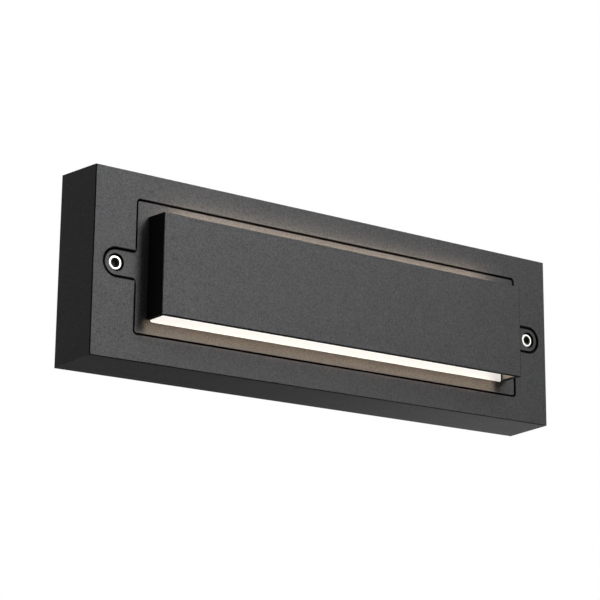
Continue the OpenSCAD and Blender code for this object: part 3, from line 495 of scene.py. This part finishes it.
# M4 socket-cap screws with a straight knurl, a hex socket and a rolled right-hand thread
SCREW_R = 2 * MM
SCREW_LEN = 16 * MM
HEAD_R = 3.5 * MM
HEAD_H = 4 * MM
HEX_FLAT = 1.5 * MM
PITCH = 0.7 * MM
THREAD_DEPTH = 0.42 * MM
RUN_OUT = 1.0 * MM
TIP_CHAMFER = 0.2 * MM
KNURL_DEPTH = 0.14 * MM
KNURL_HEIGHTS = (0.5, 1.5, 2.5, 3.3)
MOUTH_R = 2.36 * MM
MOUTH_DEPTH = 0.06 * MM
MOUTH_FALL = 0.8

# hexagons of the socket as depth and share of its size, and its round bottom as depth and radius
SOCKET_STEPS = ((0.95, 1.0), (1.88, 1.0), (2.0, 0.92))
SOCKET_BOTTOM = ((2.0, 1.2), (2.5, 0.1))

# turned outlines of the head: radius and height over its seat, in millimetres
HEAD_FOOT = ((2.05, -0.08), (2.2, 0), (3.25, 0), (3.42, 0.05), (3.49, 0.2), (3.5, 0.4))
HEAD_RIM = (
    (3.5, 3.4), (3.48, 3.52), (3.42, 3.66), (3.33, 3.79), (3.22, 3.9), (3.1, 3.97), (2.96, 4.0),
    (2.75, 4.0), (2.5, 4.0), (2.42, 3.985),
)
SCREW_STEPS = 72
RINGS_PER_PITCH = 6


def round_ring(radius, height):
    """Circle at a height over the seat of the head."""
    angles = [i * math.tau / SCREW_STEPS for i in range(SCREW_STEPS)]
    return [(radius * math.cos(angle), -height, radius * math.sin(angle)) for angle in angles]


def knurl_ring(height):
    """Ring of the head's straight knurl."""
    turn = math.tau / SCREW_STEPS
    points = []
    for i in range(SCREW_STEPS):
        r = HEAD_R - KNURL_DEPTH * (i % 2)
        points.append((r * math.cos(i * turn), -height, r * math.sin(i * turn)))
    return points


def hex_ring(height, share=1.0, lead_r=None, lead_fall=0.0):
    """Hexagon, lower at its flats than at its corners where a countersink of lead_r cuts it."""
    turn = math.tau / SCREW_STEPS
    sixth = math.tau / 6
    points = []
    for i in range(SCREW_STEPS):
        angle = i * turn
        r = share * HEX_FLAT / math.cos((angle + sixth / 2) % sixth - sixth / 2)
        drop = (lead_r - r) * lead_fall if lead_r else 0.0
        points.append((r * math.cos(angle), drop - height, r * math.sin(angle)))
    return points


def thread_ring(height):
    """Ring of a right-hand thread that fades out under the head and tapers at the tip."""
    turn = math.tau / SCREW_STEPS
    tip = max(0.0, 1 - (height + SCREW_LEN) / PITCH)
    fade = min(1.0, max(0.0, -height / RUN_OUT - 0.3))
    points = []
    for i in range(SCREW_STEPS):
        wave = abs(2 * ((height / PITCH - i / SCREW_STEPS) % 1) - 1)
        groove = min(1.0, max(0.0, (wave - 0.12) / 0.74))
        r = SCREW_R - THREAD_DEPTH * max(groove * fade, tip)
        points.append((r * math.cos(i * turn), -height, r * math.sin(i * turn)))
    return points


def cover_screw(name, body, node, socket_shade):
    """Socket-cap screw in place of a CAD screw, with painted shade: its socket's walls and bottom in a
    near-black material.
    """
    low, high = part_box(node)
    axis = ((low.x + high.x) / 2, low.y + HEAD_H, 0)
    thread_len = SCREW_LEN - TIP_CHAMFER
    count = round(RINGS_PER_PITCH * thread_len / PITCH)
    rings = [thread_ring(-SCREW_LEN + i * thread_len / count) for i in range(count + 1)]
    rings += [round_ring(r * MM, h * MM) for r, h in HEAD_FOOT]
    rings += [knurl_ring(h * MM) for h in KNURL_HEIGHTS]
    rings += [round_ring(r * MM, h * MM) for r, h in HEAD_RIM]
    mouth = len(rings) - 1
    rings.append(hex_ring(HEAD_H - MOUTH_DEPTH, 1.0, MOUTH_R, MOUTH_FALL))
    rings += [hex_ring(HEAD_H - depth * MM, share) for depth, share in SOCKET_STEPS]
    rings += [round_ring(r * MM, HEAD_H - depth * MM) for depth, r in SOCKET_BOTTOM]
    mesh = bmesh.new()
    faces = sweep(mesh, rings)
    bmesh.ops.recalc_face_normals(mesh, faces=mesh.faces)
    for i, face in enumerate(faces):
        wall = mouth * SCREW_STEPS <= i < (len(rings) - 1) * SCREW_STEPS
        bottom = i >= len(faces) - SCREW_STEPS
        face.material_index = 1 if wall or bottom else 0
    obj = piece(name, mesh, (SLOTS["stainless"], socket_shade), body, node, axis)
    smooth(obj, 28)


# painted shade: near-black metal that darkens the socket's walls and bottom
SOCKET_SHADE = metal("socket_shade", (0.014, 0.0135, 0.013), 0.5, spread=0.35, size=0.4 * MM)
cover_screw("cap_screw_left", "left_screw", "cover_screw_left", SOCKET_SHADE)
cover_screw("cap_screw_right", "right_screw", "cover_screw_right", SOCKET_SHADE)

# M3 pan-head screws with a cross recess
CROSS_ARM = 1.5 * MM
CROSS_HALF = 0.4 * MM
CROSS_DEPTH = 1.0 * MM
PAN_H = 2 * MM
PAN_STEPS = 48
PAN_PITCH = 0.5 * MM
PAN_THREAD_R = 1.5
PAN_THREAD_DEPTH = 0.3

# outline of the head, as radius and height over its seat, and the recess's steps, as depth and share
PAN_HEAD = (
    (1.5, -0.02), (1.55, 0), (2.62, 0), (2.72, 0.08), (2.75, 0.3), (2.74, 0.75), (2.64, 1.2),
    (2.4, 1.55), (2.05, 1.8), (1.72, 1.93), (1.62, 1.96),
)
PAN_RECESS = ((0.06, 1.0), (0.2, 0.94), (0.75, 0.7), (CROSS_DEPTH / MM, 0.45))


def turned_ring(x, z, seat, height, radius):
    """Ring about an axis through x, z whose radius may depend on the angle."""
    points = []
    for i in range(PAN_STEPS):
        angle = math.tau * i / PAN_STEPS
        r = radius(angle) if callable(radius) else radius
        points.append((x + r * math.cos(angle), seat - height, z + r * math.sin(angle)))
    return points


def cross_radius(share):
    """Outline of the recess by angle, its arms drawn in to a share of their size."""
    def radius(angle):
        off = abs((angle + math.pi / 4) % (math.pi / 2) - math.pi / 4)
        arm = CROSS_ARM * share / math.cos(off)
        return min(arm, CROSS_HALF * (0.5 + share / 2) / max(math.sin(off), 1e-6))
    return radius


def pan_radius(height, length):
    """Radius of a right-hand M3 thread by angle at a height under the head."""
    tip = max(0.0, 1 - (height + length) / PAN_PITCH)
    def radius(angle):
        wave = abs(2 * ((height / PAN_PITCH - angle / math.tau) % 1) - 1)
        return (PAN_THREAD_R - PAN_THREAD_DEPTH * max(min(1.0, wave * 1.2), tip)) * MM
    return radius


def pan_screws(name, node, places, length):
    """Pan-head screws in place of a CAD node, with their axes through the places x, z."""
    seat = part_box(node)[0].y + PAN_H
    count = round(4 * length / PAN_PITCH)
    mesh = bmesh.new()
    for x, z in places:
        outline = []
        for i in range(count):
            height = -length + i * length / count
            outline.append((height, pan_radius(height, length)))
        outline += [(h * MM, r * MM) for r, h in PAN_HEAD]
        outline += [(PAN_H - drop * MM, cross_radius(share)) for drop, share in PAN_RECESS]
        rings = [turned_ring(x, z, seat, height, radius) for height, radius in outline]
        sweep(mesh, rings)
    bmesh.ops.recalc_face_normals(mesh, faces=mesh.faces)
    smooth(piece(name, mesh, (SLOTS["zinc_steel"],), "housing", node), 32)


BOARD_SCREWS = [(x * MM, 0) for x in (-84, -30, 30, 84)]
BOARD_SCREW_LEN = 3.8 * MM
TRAY_SCREWS = [(x * MM, z * MM) for x in (-100.8, 100.8) for z in (-14, 14)]
TRAY_SCREW_LEN = 5 * MM
pan_screws("board_pan_screws", "board_screws", BOARD_SCREWS, BOARD_SCREW_LEN)
pan_screws("tray_pan_screws", "tray_screws", TRAY_SCREWS, TRAY_SCREW_LEN)

# LED packages: a white moulding with a sunk phosphor window, on two solder tabs
LED_L = 3.5 * MM
LED_B = 2.8 * MM
LED_COUNT = 19
LED_ROW = 90 * MM
LED_LINE = 12.5 * MM
CORNER_STEPS = 4

# rings of the moulding, as what the length and breadth lose and the depth under its face, in millimetres
LED_RINGS = (
    (0.40, 0.06, 0.0), (0.40, 0.06, 0.16), (0.0, 0.0, 0.17), (0.0, 0.0, 0.60),
    (0.05, 0.05, 0.68), (0.12, 0.12, 0.70), (0.60, 0.55, 0.70),
)
LED_CORNER_R = 0.12 * MM
CUP_L = LED_L - 0.72 * MM
CUP_B = LED_B - 0.67 * MM
CUP_R = 0.3 * MM
CUP_Y = 0.60
DOME = ((1.0, CUP_Y), (0.96, 0.625), (0.6, 0.64))
TAB_X = 1.62 * MM
TAB_L = 0.22 * MM
TAB_B = 1.7 * MM
TAB_R = 0.04 * MM
TAB_T = 0.15


def rounded_ring(x, z, width, depth, radius, y):
    """Rectangle with round corners, width along x and depth along z."""
    points = []
    for corner, (sx, sz) in enumerate(((1, 1), (-1, 1), (-1, -1), (1, -1))):
        for step in range(CORNER_STEPS):
            angle = math.tau / 4 * (corner + step / (CORNER_STEPS - 1))
            px = sx * (width / 2 - radius) + radius * math.cos(angle)
            pz = sz * (depth / 2 - radius) + radius * math.sin(angle)
            points.append((x + px, y, z + pz))
    return points


def led_package(mesh, x, z, y):
    """One package whose back lies at y: moulding, phosphor and two tabs."""
    rings = [rounded_ring(x, z, LED_L - a * MM, LED_B - b * MM, LED_CORNER_R, y - h * MM)
             for a, b, h in LED_RINGS]
    rings.append(rounded_ring(x, z, CUP_L, CUP_B, CUP_R, y - CUP_Y * MM))
    sweep(mesh, rings, closed_end=False)
    dome = [rounded_ring(x, z, CUP_L * s, CUP_B * s, CUP_R * s, y - h * MM) for s, h in DOME]
    for face in sweep(mesh, dome, closed_start=False):
        face.material_index = 1
    for side in (-1, 1):
        tab = [rounded_ring(x + side * TAB_X, z, TAB_L, TAB_B, TAB_R, y - h * MM) for h in (0.0, TAB_T)]
        for face in sweep(mesh, tab):
            face.material_index = 2


def led_packages():
    """Both rows of packages in one piece."""
    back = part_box("leds")[1].y
    mesh = bmesh.new()
    for row in (-1, 1):
        for i in range(LED_COUNT):
            x = -LED_ROW + i * 2 * LED_ROW / (LED_COUNT - 1)
            led_package(mesh, x, row * LED_LINE, back)
    bmesh.ops.remove_doubles(mesh, verts=mesh.verts, dist=0.001 * MM)
    bmesh.ops.recalc_face_normals(mesh, faces=mesh.faces)
    materials = (SLOTS["white_nylon"], SLOTS["phosphor"], SLOTS["tinned_copper"])
    obj = piece("led_packages", mesh, materials, "housing", "leds")
    smooth(obj, 40)


led_packages()


# ---------------------------------------------------------------- camera
PHOTO_SIDE = 600
FOCAL_PX = 1872.37
SENSOR = 36.0
CAMERA_PLACE = Vector((-0.54636, -0.74731, -0.22608))
CAMERA_RIGHT = (0.80679, -0.590762, 0.0095)
CAMERA_UP = (-0.152281, -0.192378, 0.969433)
CAMERA_BACK = (-0.570877, -0.783576, -0.245171)


def camera():
    """The camera that the photo was taken with, as fitted to the box and the hood."""
    data = bpy.data.cameras.new("photo_camera")
    data.sensor_width = SENSOR
    data.lens = SENSOR * FOCAL_PX / PHOTO_SIDE
    data.clip_start = 0.05
    data.clip_end = 60.0
    obj = bpy.data.objects.new("photo_camera", data)
    bpy.context.scene.collection.objects.link(obj)
    turn = Matrix((CAMERA_RIGHT, CAMERA_UP, CAMERA_BACK)).transposed()
    obj.matrix_world = Matrix.Translation(CAMERA_PLACE) @ turn.to_4x4()
    bpy.context.scene.camera = obj


camera()


# ---------------------------------------------------------------- world, floor and studio lamps
def seen_rays(tree):
    """1 for the rays that see the background: straight, mirrored or through glass."""
    rays = tree.nodes.new("ShaderNodeLightPath")
    seen = rays.outputs["Is Camera Ray"]
    for kind in ("Is Glossy Ray", "Is Transmission Ray"):
        either = tree.nodes.new("ShaderNodeMath")
        either.operation = "MAXIMUM"
        tree.links.new(seen, either.inputs[0])
        tree.links.new(rays.outputs[kind], either.inputs[1])
        seen = either.outputs[0]
    return seen


def world():
    """White background for the rays that see it. It lights no matt surface."""
    made = bpy.data.worlds.new("studio")
    bpy.context.scene.world = made
    made.use_nodes = True
    tree = made.node_tree
    tree.nodes.clear()
    white = tree.nodes.new("ShaderNodeBackground")
    white.inputs["Color"].default_value = (1, 1, 1, 1)
    out = tree.nodes.new("ShaderNodeOutputWorld")
    tree.links.new(seen_rays(tree), white.inputs["Strength"])
    tree.links.new(white.outputs[0], out.inputs["Surface"])


FLOOR_Z = -1.0
FLOOR_HALF = 12.0


def floor(height, half):
    """Pale paper floor that keeps the light's shadow."""
    mesh = bpy.data.meshes.new("studio_floor")
    corners = [(x * half, y * half, height) for x, y in ((-1, -1), (1, -1), (1, 1), (-1, 1))]
    mesh.from_pydata(corners, [], [(0, 1, 2, 3)])
    obj = bpy.data.objects.new("studio_floor", mesh)
    bpy.context.scene.collection.objects.link(obj)
    s = Shader("floor_paper", Roughness=0.95, Specular_IOR_Level=0.1)
    paper = s.blend(s.noise(60 * MM, 3), (0.80, 0.80, 0.79), (0.83, 0.83, 0.82))
    s.set("Base Color", paper)
    s.set("Emission Color", paper)
    s.set("Emission Strength", seen_rays(s.tree))
    obj.data.materials.append(s.material)


def lamp(name, place, target, size, power, spread=180, color=(1, 1, 1), body=None):
    """Rectangular lamp that the camera doesn't see. With a body, it moves with that body."""
    data = bpy.data.lights.new(name, "AREA")
    data.shape = "RECTANGLE"
    data.size, data.size_y = size
    data.energy = power
    data.spread = math.radians(spread)
    data.color = color
    obj = bpy.data.objects.new(name, data)
    bpy.context.scene.collection.objects.link(obj)
    obj.location = place
    obj.rotation_mode = "QUATERNION"
    obj.rotation_quaternion = (Vector(target) - Vector(place)).to_track_quat("-Z", "Y")
    obj.visible_camera = False
    if body:
        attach(obj, body)


world()
floor(FLOOR_Z, FLOOR_HALF)
lamp("key", (0.6, -1.65, 0.75), (-0.42, 0, 0.10), (0.6, 0.6), 3.8, 44)
lamp("high_right", (0.5, -1.2, 1.3), (-0.25, 0, 0.2), (0.6, 0.6), 1.3, 50)
lamp("high", (0.02, -0.8, 1.3), (0, 0, 0), (0.5, 0.5), 3.4)
lamp("low_right", (0.35, 0, -0.30), (0.13, -0.01, -0.045), (0.12, 0.12), 0.058, 44)
lamp("low_middle", (0.35, 0, -0.30), (0.08, -0.01, -0.045), (0.12, 0.12), 0.014, 36)
lamp("left", (-1.6, 0.3, 0.1), (0, 0.1, 0), (0.8, 0.8), 3.6)
lamp("back_right", (1.3, 1.6, 1.3), (0, 0, 0), (1.2, 1.2), 3.0)
lamp("back", (0.5, 1.8, 0.6), (0, 0, 0), (0.6, 0.6), 2.6, 40)

WARM = (1.0, 0.78, 0.57)
PANE_SPAN = (PANE_HIGH.x - PANE_LOW.x - 8 * MM, PANE_HIGH.z - PANE_LOW.z - 8 * MM)
STRIP_Y = PLATE_FACE - 9 * MM
STRIP_Z = -28.7 * MM
STRIP_H = 6.2 * MM
STRIP_LEFT = -111.5 * MM
STRIP_SPANS = (0.214, 0.206, 0.197, 0.185)
BOUNCE_Z = 21 * MM
BOUNCE_SIZE = (0.196, 6 * MM)


def glow(name, y, z, way, size, power, spread=180, x=0.0):
    """Lamp for the diffuser's own light, level, facing the wall (way 1) or away from it (way -1)."""
    lamp(name, (x, y, z), (x, y + way, z), size, power, spread, WARM, "cover")


glow("glow_up", HOOD_BACK + 0.2 * MM, BOUNCE_Z, 1, BOUNCE_SIZE, 0.080, 130)
for span in STRIP_SPANS:
    glow("glow_down", STRIP_Y, STRIP_Z, 1, (span, STRIP_H), 0.0090, 38, span / 2 + STRIP_LEFT)
glow("window_glow", PANE_LOW.y - 0.2 * MM, 0, -1, PANE_SPAN, 0.42)

scene = bpy.context.scene
scene.view_settings.view_transform = "Standard"
